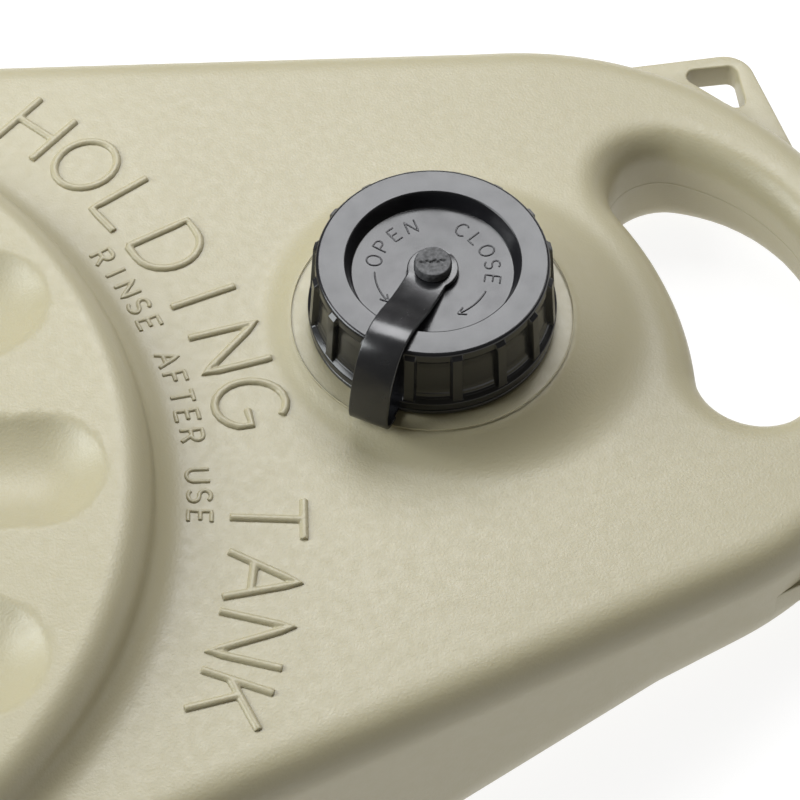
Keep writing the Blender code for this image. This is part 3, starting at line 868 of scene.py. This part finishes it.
def cap_angles():
    """Angles with close steps at the ribs' edges."""
    pitch = 2 * math.pi / CAP_PANELS
    shares = (0, 0.085, 0.1, 0.115, 0.13, 0.145, 0.17, 0.28, 0.39, 0.5,
              0.61, 0.72, 0.83, 0.855, 0.87, 0.885, 0.9, 0.915)
    return np.array([pitch * (i + share) for i in range(CAP_PANELS) for share in shares])


def rising(value, start, length):
    return np.clip((value - start) / length, 0, 1)


def falling(value, end, length):
    return np.clip((end - value) / length, 0, 1)


def cap_ribs(radius, height, angle):
    """Ribs between the sunken side panels, with a ledge at the foot of each panel."""
    rib_proud, panel_depth, ledge_proud = 1.4, 0.9, 0.35
    inside_radius = 40.5
    pitch = 2 * math.pi / CAP_PANELS
    off = np.abs((angle + pitch / 2) % pitch - pitch / 2) / pitch
    rib = falling(off, 0.145, 0.045)
    rib = rib * rib * (3 - 2 * rib)
    panel = falling(height, 28.0, 1.6) * rising(height, 7.9, 0.5)
    ledge = falling(height, 10.2, 0.5)
    rib_level = falling(height, 30.4, 0.9) * rising(height, 6.9, 0.5)
    proud = rib_proud * rib * rib_level + (ledge_proud * ledge - panel_depth) * (1 - rib) * panel
    return np.where(radius > inside_radius, radius + proud, radius), height + 0 * angle


def cap_profile():
    """The cap's section, with steps on its side where the ribs, panels and ledges begin and end."""
    side_radius, side_top = 42.4, 29.4
    well_edge = (30.6, 29.0, 0)
    rim = softened([well_edge, (31.7, CAP_RIM_TOP, 0.7), (42.3, CAP_RIM_TOP, 1.4),
                    (side_radius, side_top, 0)], closed=False, count=6)[1:]
    heights = (28.6, 28.0, 27.4, 26.8, 26.2, 22.0, 17.0, 12.4, 10.25, 9.9, 9.5, 8.6, 8.3, 7.9)
    side = [(side_radius + CAP_DRAFT * (side_top - z), z) for z in heights]
    foot = softened([(43.95, 7.4, 0), (45.6, 6.6, 0.8), (45.6, 2.9, 0.6), (38.9, 2.9, 0)], closed=False)
    inside = [(38.9, 29.6), (34.3, 29.6), (33.2, 21.6), (3.3, 21.6)]
    floor = softened([(3.3, 21.6, 0), (3.3, CAP_FLOOR, 0.2), (29.5, CAP_FLOOR, 0.5), well_edge],
                     closed=False, count=4)[1:]
    return rim + side + foot + inside + floor


def screw_cap(side):
    """Glossy cap: flat rim, deep well, ribbed side and foot flange."""
    place = CLOSURE_FRAMES[side]
    mesh = spun(f"{side}_screw_cap", cap_profile(), cap_angles(), cap_ribs, 30)
    turned = place @ Matrix.Rotation(math.radians(RIB_TURN), 4, "Z")
    piece(f"{side}_screw_cap", mesh, turned, "cap_plastic", f"{side}_closure", [f"{side}_cap"])
    radius, letter, arrow_radius = 19.0, 5.6, 21.0
    words = arc_lettering("OPEN", 0, radius, letter, 148, 92, 0, CAP_FLOOR)
    words += arc_lettering("CLOSE", 0, radius, letter, 42, -28, 0, CAP_FLOOR)
    words += turning_arrow(arrow_radius, 162, 202) + turning_arrow(arrow_radius, -44, -84)
    lettering(f"{side}_cap_lettering", words, 0.7, 0.14, place, "cap_plastic", f"{side}_closure")


def turning_arrow(radius, start, end):
    """An arc with an arrow head of two barbs at its end."""
    barb_length = 3.4
    shaft = [(x, y, CAP_FLOOR) for x, y in arc(0, 0, radius, start, end, 14)]
    tip = Vector(shaft[-1][:2])
    along = (tip - Vector(shaft[-2][:2])).normalized()
    head = []
    for turn in (150, -150):
        barb = Matrix.Rotation(math.radians(turn), 2) @ along * barb_length
        head.append([(*tip, CAP_FLOOR), (tip.x + barb.x, tip.y + barb.y, CAP_FLOOR)])
    return [shaft] + head


def cap_stud(side):
    """The stud, its head split across and rough on top."""
    head_top, flat_radius = 31.6, 5.6
    rings = (0.4, 0.8, 1.2, 1.6, 2.0, 2.4, 2.8, 3.2, 3.6, 4.0, 4.4, 4.8, 5.2, flat_radius)
    top = [(0.001, head_top)] + [(r, head_top) for r in rings]
    edge = softened([(flat_radius, head_top, 0), (6.5, head_top, 0.5), (6.9, 30.2, 0.6),
                     (6.9, 27.9, 0.3), (3.0, 27.9, 0)], closed=False)[1:]
    shaft = [(3.0, 21.3), (6.0, 21.3), (5.0, 19.2), (0.001, 19.2)]

    def split(radius, height, angle):
        crack_turn, crack_depth, crack_half_width, grain_height = 14, 0.8, 0.5, 0.05
        turned = angle + math.radians(crack_turn)
        x, y = radius * np.cos(turned), radius * np.sin(turned)
        crack = 0.3 * np.sign(np.sin(2.3 * x)) * (np.abs(x) < 3.4) + 0.12 * np.sin(7.3 * x + 1)
        depth = np.clip(1 - np.abs(y - crack) / crack_half_width, 0, 1) * falling(np.abs(x), 5.3, 0.8)
        grain = grain_height * np.sin(5 * x + 1.7 * y) * np.sin(4.3 * y - 2 * x)
        on_top = (height > head_top - 0.2) & (radius < flat_radius + 0.1)
        return radius + 0 * angle, height + np.where(on_top, grain - crack_depth * depth, 0)

    mesh = spun(f"{side}_stud", top + edge + shaft, 96, split, 50)
    piece(f"{side}_stud", mesh, CLOSURE_FRAMES[side], "stud_plastic", f"{side}_strap", [f"{side}_cap_stud"])


def smooth_path(points, spacing):
    """A Catmull-Rom curve through the points, evenly spaced."""
    knots = [np.array(point) for point in points]
    knots = [2 * knots[0] - knots[1], *knots, 2 * knots[-1] - knots[-2]]
    fine = []
    for a, b, c, d in zip(knots, knots[1:], knots[2:], knots[3:]):
        for t in np.linspace(0, 1, 12, endpoint=False):
            fine.append(0.5 * (2 * b + (c - a) * t + (2 * a - 5 * b + 4 * c - d) * t ** 2
                               + (3 * b - a - 3 * c + d) * t ** 3))
    fine.append(knots[-2])
    fine = np.array(fine)
    run = np.concatenate([[0], np.cumsum(np.linalg.norm(np.diff(fine, axis=0), axis=1))])
    even = np.linspace(0, run[-1], int(run[-1] / spacing) + 1)
    return np.stack([np.interp(even, run, fine[:, k]) for k in range(2)], 1)


def strap_frame(side):
    """A closure's frame with +X turned to where its strap lies."""
    return CLOSURE_FRAMES[side] @ Matrix.Rotation(math.radians(STRAP_ANGLES[side]), 4, "Z")


def tether_strap(side):
    """A flat strap from the stud's eyelet over the rim, out, down and under to the ring's lug."""
    eyelet, tip_half_width, spacing = 9.3, 0.3, 0.7
    path = smooth_path([(-eyelet, 26.8), (0, 26.8), (8, 26.9), (19, 29.2), (30, 33.5), (38, 35.0),
                        (44.5, 33.2), (49.5, 28.0), (53.5, 20.0), (56.0, 11.0), (56.2, 5.6),
                        (54.0, 2.4), (49.0, 1.3)], spacing)
    along = np.gradient(path, axis=0)
    along /= np.linalg.norm(along, axis=1)[:, None]
    half, edge = STRAP_THICKNESS / 2, 0.5
    section = softened([(-1, -half, edge), (-1, half, edge), (1, half, edge), (1, -half, edge)], count=3)
    points = []
    for (r, z), (ar, az) in zip(path, along):
        width = STRAP_WIDTH / 2
        if r < eyelet:
            round_end = math.sqrt(max(eyelet ** 2 - r ** 2, 0))
            width = max(width if r > 0 else tip_half_width, round_end)
        for across, thick in section:
            y = math.copysign(width - (1 - abs(across)), across) if abs(across) > 0.4 else across
            points.append((r - az * thick, y, z + ar * thick))
    count = len(section)
    faces = strip_faces(len(path), count, closed=False)
    faces.append(range(count - 1, -1, -1))
    faces.append([(len(path) - 1) * count + k for k in range(count)])
    mesh = mended(smoothed(new_mesh(f"{side}_strap_band", points, faces), 40))
    made = piece(f"{side}_strap_band", mesh, strap_frame(side), "strap_plastic", None,
                 [f"{side}_tether_strap"])
    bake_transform(made)


def tether_ring(side):
    """The ring round the neck, with the lug that the strap grows out of."""
    profile = softened([(38.5, 2.3, 0.4), (45.4, 2.3, 0.6), (45.4, 0.4, 0.4), (38.5, 0.4, 0.4)], count=3)
    spun_piece(f"{side}_neck_ring", profile, 128, CLOSURE_FRAMES[side], "strap_plastic",
               f"{side}_ring", f"{side}_tether_ring")
    lug = bmesh.new()
    size = Matrix.Diagonal((8, 13.6, 1.5, 1))
    bmesh.ops.create_cube(lug, size=1, matrix=Matrix.Translation((46, 0, 1.3)) @ size)
    bmesh.ops.bevel(lug, geom=lug.edges[:], offset=0.35, segments=2, affect="EDGES")
    mesh = bpy.data.meshes.new(f"{side}_ring_lug")
    lug.to_mesh(mesh)
    lug.free()
    piece(f"{side}_ring_lug", mesh, strap_frame(side), "strap_plastic", f"{side}_ring")


def cap_seal(side):
    """The flat gasket between the cap and the neck's rim."""
    edge = 0.3
    profile = softened([(34.9, 29.3, edge), (38.4, 29.3, edge), (38.4, 27.6, edge),
                        (34.9, 27.6, edge)], count=3)
    spun_piece(f"{side}_gasket_ring", profile, 96, CLOSURE_FRAMES[side], "seal_rubber",
               f"{side}_gasket", f"{side}_cap_seal")


def neck(side):
    """The neck's wall with its raised screw thread."""
    profile = softened([(NECK_BORE, NECK_HEIGHT, 0.5), (NECK_RADIUS, NECK_HEIGHT, 0.8),
                        (NECK_RADIUS, 1.6, 1.0), (NECK_RADIUS + 0.7, -3, 0), (NECK_BORE, -3, 0)], count=4)
    place = CLOSURE_FRAMES[side]
    spun_piece(f"{side}_neck_wall", profile, 128, place, "tank_plastic", "tank")
    turns, pitch, first, thread_radius = 2.5, 6.0, 7.0, 0.95
    sunk, rise, end_share = 0.7, 0.75, 12
    steps = int(turns * 60)
    helix = []
    for i in range(steps + 1):
        share = i / steps
        fade = min(1, share * end_share, (1 - share) * end_share)
        radius = NECK_RADIUS - sunk + rise * fade
        angle = 2 * math.pi * turns * share
        helix.append((radius * math.cos(angle), radius * math.sin(angle), first + pitch * turns * share))
    thread = tube(f"{side}_neck_thread", [helix], thread_radius)
    piece(f"{side}_neck_thread", thread, place, "tank_plastic", "tank")


# ---------------------------------------------------------------- wheels

def tread_angles():
    """Angles with a step down and up again at each cross groove."""
    pitch = 2 * math.pi / TREAD_BLOCKS
    shares = (0.02, 0.62, 0.7, 0.94)
    return np.array([pitch * (i + share) for i in range(TREAD_BLOCKS) for share in shares])


def tread_grooves(radius, height, angle):
    """Cross grooves in the tyre's two shoulders."""
    depth, tread_radius, shoulder = 1.2, 57.5, 7
    share = angle * TREAD_BLOCKS / (2 * math.pi) % 1
    groove = (share > 0.66) & (radius > tread_radius) & (np.abs(height) > shoulder)
    return radius - depth * groove, height + 0 * angle


def wheel_tyre(word, place):
    """A solid tyre with two grooves round it and cross grooves in its shoulders."""
    tread = [(47.4, 16.2, 0.3), (53.5, 16.5, 2.0), (58.6, 13.6, 2.5), (60, 8.6, 1.5), (60, 6.2, 0.3),
             (58.6, 5.6, 0.3), (58.6, 4.4, 0.3), (60, 3.8, 0.3)]
    mirror = [(r, -z, soft) for r, z, soft in reversed(tread)]
    inner = [(44.4, -12.4, 0.8), (44.4, 12.4, 0.8)]
    tyre = spun(f"{word}_tyre", softened(tread + mirror + inner, count=3), tread_angles(), tread_grooves)
    piece(f"{word}_tyre", tyre, place, "tyre_rubber", f"{word}_wheel", [f"{word}_wheel_tyre"])


def hub_cutter(index):
    """One of the round holes through the hub's web."""
    from_axle, radius, depth = 27, 8, 16
    turn = math.radians(index * 360 / HUB_HOLES + 90)
    spot = Matrix.Translation((from_axle * math.cos(turn), from_axle * math.sin(turn), 0))
    cut = bmesh.new()
    bmesh.ops.create_cone(cut, cap_ends=True, segments=40, radius1=radius, radius2=radius, depth=depth,
                          matrix=spot)
    mesh = bpy.data.meshes.new("hub_hole")
    cut.to_mesh(mesh)
    cut.free()
    return loose("hub_hole", mesh)


def wheel_hub(word, place):
    """The hub: rim, thin web with holes and a long boss, its edges softened."""
    rim = [(47.1, 15.9, 0.6), (47.1, 13.8, 0.3), (44.1, 12.6, 0.4), (44.1, -12.6, 0.4), (47.1, -13.8, 0.3),
           (47.1, -15.9, 0.6), (41.6, -16, 0.6), (39.5, -4, 2.0), (14.6, -4, 2.0), (14, -17, 0.6),
           (6.4, -17, 0.4), (6.4, 17, 0.4), (14, 17, 0.6), (14.6, 4, 2.0), (39.5, 4, 2.0), (41.6, 16, 0.6)]
    hub = loose("hub", spun("hub", softened(rim, count=3), 120))
    cutters = [hub_cutter(index) for index in range(HUB_HOLES)]
    for cutter in cutters:
        step = hub.modifiers.new("hole", "BOOLEAN")
        step.operation = "DIFFERENCE"
        step.object = cutter
    soft = hub.modifiers.new("soft", "BEVEL")
    soft.width = 0.6
    soft.segments = 2
    soft.limit_method = "ANGLE"
    soft.angle_limit = math.radians(50)
    mesh = evaluated(hub)
    for cutter in cutters:
        bpy.data.objects.remove(cutter)
    piece(f"{word}_hub", smoothed(mesh, 40), place, "wheel_plastic", f"{word}_wheel",
          [f"{word}_wheel_hub"])


def hub_cover(word, place):
    """The domed cap over the hub's boss and the pin's end."""
    cover = softened([(0.001, 25, 0), (9, 24.6, 4), (15, 22.4, 3), (17, 19, 2), (17, 9, 0.5), (14.4, 9, 0.3),
                      (14.4, 19.6, 1), (12, 22.0, 1), (0.001, 22.6, 0)], closed=False, count=5)
    spun_piece(f"{word}_hub_cover", cover, 72, place, "cap_plastic", f"{word}_wheel", f"{word}_hub_cap")


def axle_fixings(word, place):
    """What stays on the tank: the washer against the arch, the pin in it and the ring on its end."""
    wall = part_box(f"{word}_wheel_washer")
    inboard = -(abs(JOINTS[f"{word}_wheel_spin"]["pos_m"][1]) - min(abs(wall[0].y), abs(wall[1].y))) / MM
    outboard = inboard + 4.2
    washer = softened([(6.4, outboard, 0.4), (13, outboard, 0.6), (13, inboard, 0.4),
                       (6.4, inboard, 0.4)], count=3)
    spun_piece(f"{word}_washer", washer, 64, place, "wheel_plastic", "tank", f"{word}_wheel_washer")
    pin_end = inboard - 27.9
    pin = softened([(0.001, 22, 0), (5.3, 22, 0.5), (6, 21, 0.4), (6, pin_end, 0), (0.001, pin_end, 0)],
                   closed=False, count=3)
    spun_piece(f"{word}_axle_pin", pin, 48, place, "plated_steel", "tank", f"{word}_wheel_pin")
    retainer = softened([(6.3, 18.4, 0.2), (11, 18.4, 0.3), (11, 17.4, 0.2), (6.3, 17.4, 0.2)], count=2)
    spun_piece(f"{word}_push_ring", retainer, 48, place, "plated_steel", "tank", f"{word}_wheel_retainer")


def wheel(word, side):
    place = wheel_frame(word, side)
    wheel_tyre(word, place)
    wheel_hub(word, place)
    hub_cover(word, place)
    axle_fixings(word, place)


# ---------------------------------------------------------------- stage

# Camera place in millimetres in the tank frame, angles in degrees, lens for a 36 mm sensor
CAMERA_PLACE = (-240.1, -670.1, 955.2)
CAMERA_AZIMUTH = -18.761
CAMERA_ELEVATION = 54.838
CAMERA_LENS = 145.9
CAMERA_SENSOR = 36

FLOOR_REACH = 6.0
FLOOR_GAP = 0.0004
FLOOR_GLOW = 0.88
SURROUND_COLOUR = (1, 0.94, 0.76)
SURROUND_STRENGTH = 0.09
# Side in metres, watts, colour
FAR_LIGHT = (1.05, 27, (0.97, 0.98, 1.0))
LEFT_LIGHT = (1.1, 32, (0.95, 0.99, 1.0))
RIGHT_LIGHT = (0.9, 5, (1, 1, 1))


def make_camera():
    """The camera stands in the tank frame, where the tank's own shapes place it."""
    azimuth, elevation = math.radians(CAMERA_AZIMUTH), math.radians(CAMERA_ELEVATION)
    level = math.cos(elevation)
    back = Vector((math.sin(azimuth) * level, -math.cos(azimuth) * level, math.sin(elevation)))
    right = (-back).cross(Vector((0, 0, 1))).normalized()
    up = right.cross(-back)
    turn = Matrix((right, up, back)).transposed().to_4x4()
    data = bpy.data.cameras.new("camera")
    data.lens = CAMERA_LENS
    data.sensor_width = CAMERA_SENSOR
    data.clip_end = 20
    made = bpy.data.objects.new("camera", data)
    made.matrix_world = TANK @ Matrix.Translation(Vector(CAMERA_PLACE) * MM) @ turn
    bpy.context.scene.collection.objects.link(made)
    bpy.context.scene.camera = made
    return made


def area_light(name, place, target, size, watts, colour):
    """A square soft light, turned to its target."""
    data = bpy.data.lights.new(name, "AREA")
    data.shape = "RECTANGLE"
    data.size, data.size_y = size, size
    data.energy = watts
    data.color = colour
    made = bpy.data.objects.new(name, data)
    made.location = place
    made.rotation_euler = (Vector(target) - Vector(place)).to_track_quat("-Z", "Y").to_euler()
    bpy.context.scene.collection.objects.link(made)


def make_stage(camera):
    """A glowing pale floor and three soft lights: beyond the object, left and, weaker, right."""
    floor_material, _, shader = new_material("floor", (0.22, 0.22, 0.22), 0.9)
    shader.inputs["Emission Color"].default_value = (1, 1, 1, 1)
    shader.inputs["Emission Strength"].default_value = FLOOR_GLOW
    reach = FLOOR_REACH
    corners = [(-reach, -reach, 0), (reach, -reach, 0), (reach, reach, 0), (-reach, reach, 0)]
    mesh = new_mesh("floor", corners, [(0, 1, 2, 3)])
    mesh.materials.append(floor_material)
    floor = loose("floor", mesh)
    floor.location.z = cad_box[0].z - FLOOR_GAP

    centre = TANK.translation
    view = (camera.matrix_world.translation - centre).normalized()
    normal = TANK.to_3x3() @ Vector((0, 0, 1))
    mirrored = (2 * view.dot(normal) * normal - view).normalized()
    area_light("far_softbox", centre + mirrored * 1.9, centre, *FAR_LIGHT)
    area_light("left_softbox", centre + Vector((-1.2, 0.4, 1.3)), centre, *LEFT_LIGHT)
    area_light("right_softbox", centre + Vector((1.3, 0.5, 1.3)), centre, *RIGHT_LIGHT)

    world = bpy.data.worlds.new("surround")
    bpy.context.scene.world = world
    world.use_nodes = True
    background = world.node_tree.nodes["Background"]
    background.inputs["Color"].default_value = (*SURROUND_COLOUR, 1)
    background.inputs["Strength"].default_value = SURROUND_STRENGTH
    bpy.context.scene.view_settings.view_transform = "Standard"


def main():
    tank_skin()
    for word, side in SIDES:
        corner_tab(word, side)
        wheel(word, side)
    parting_lines()
    boss_line()
    tank_lettering()
    for side in CLOSURES:
        neck(side)
        screw_cap(side)
        cap_stud(side)
        tether_ring(side)
        tether_strap(side)
        cap_seal(side)
    make_stage(make_camera())


main()
